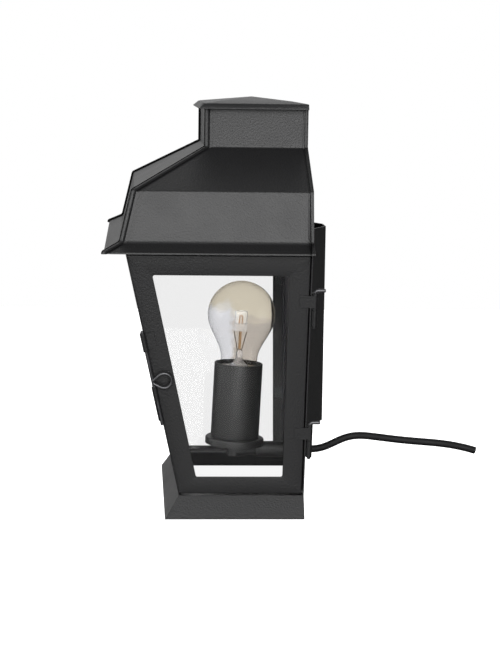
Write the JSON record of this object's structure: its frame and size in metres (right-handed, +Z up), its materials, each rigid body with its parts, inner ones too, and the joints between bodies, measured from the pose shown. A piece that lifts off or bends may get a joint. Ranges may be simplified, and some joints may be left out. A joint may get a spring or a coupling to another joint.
{
  "type": "wall lantern",
  "caption": "Folded sheet wall lantern with a hipped chimney roof, leaning glazed sides, a hinged side door with a pin latch, an open base and a screw-in bulb on a short arm.",
  "frame": {"origin": "middle of the bracket's wall face, half way between its two wall screws", "axes": "+Z up, +Y into the wall, +X to the right seen from the front, on the door's side"},
  "size_m": [0.3216, 0.3328, 0.3505],
  "materials": {
    "black_paint": "satin",
    "holder_paint": "semi-matt",
    "wire": "satin",
    "clip": "zinc plated",
    "pane": "clear float",
    "bulb_glass": "clear blown",
    "brass": "machined",
    "nickel": "rolled",
    "tungsten": "drawn",
    "porcelain": "glazed ceramic",
    "insulator": "black vitrite",
    "rubber": "matt",
    "lead_sleeve": "matt"
  },
  "bodies": {
    "frame": {"wall_bracket": "black_paint", "bracket_rivets": "wire", "back_plate": "black_paint", "rear_left_post": "black_paint", "rear_right_post": "black_paint", "front_left_post": "black_paint", "front_right_post": "black_paint", "head_frame": "black_paint", "plinth": "black_paint", "front_glass": "pane", "left_glass": "pane", "pane_clips": "clip", "roof_front_panel": "black_paint", "roof_left_panel": "black_paint", "roof_right_panel": "black_paint", "roof_back_panel": "black_paint", "chimney_cap": "black_paint", "arm_tube": "holder_paint", "arm_nipple": "brass", "arm_locknut": "brass", "holder_elbow": "holder_paint", "holder_stud": "brass", "holder_dish": "holder_paint", "holder_sleeve": "holder_paint", "socket_body": "porcelain", "socket_shell": "brass", "centre_contact": "brass", "inner_leads": "lead_sleeve", "cable_gland": "rubber", "supply_cord": "rubber", "upper_frame_knuckle": "black_paint", "lower_frame_knuckle": "black_paint", "upper_hinge_pin": "wire", "lower_hinge_pin": "wire", "latch_keeper": "black_paint"},
    "door": {"door_frame": "black_paint", "door_glass": "pane", "door_glass_clips": "clip", "upper_door_knuckle": "black_paint", "lower_door_knuckle": "black_paint", "latch_upper_guide": "black_paint", "latch_lower_guide": "black_paint"},
    "latch": {"latch_pin": "wire"},
    "bulb_tip": {"bulb_contact": "nickel"},
    "bulb": {"bulb_glass": "bulb_glass", "bulb_cap": "nickel", "bulb_insulator": "insulator", "bulb_stem": "bulb_glass", "bulb_leads": "tungsten", "bulb_capsule": "bulb_glass", "bulb_filament": "tungsten"}
  },
  "joints": [
    {"name": "door_hinge", "type": "hinge", "parent": "frame", "child": "door", "pos_m": [0.09603, -0.02, -0.13468], "axis": [0.214, 0, 0.9768], "range_deg": [0, 90]},
    {"name": "latch_slide", "type": "slide", "parent": "door", "child": "latch", "axis": [0.2092, -0.2092, 0.9552], "range_m": [0, 0.023]},
    {"name": "bulb_lift", "type": "slide", "parent": "frame", "child": "bulb_tip", "axis": [0, 0.0419, 0.9991], "range_m": [0, 0.0108]},
    {"name": "bulb_turn", "type": "hinge", "parent": "bulb_tip", "child": "bulb", "pos_m": [0, -0.0772, -0.1148], "axis": [0, 0.0419, 0.9991], "range_deg": [0, 1080]}
  ],
  "couplings": [
    {"joint": "bulb_lift", "follows": "bulb_turn", "m_per_rad": 0.00057296}
  ]
}
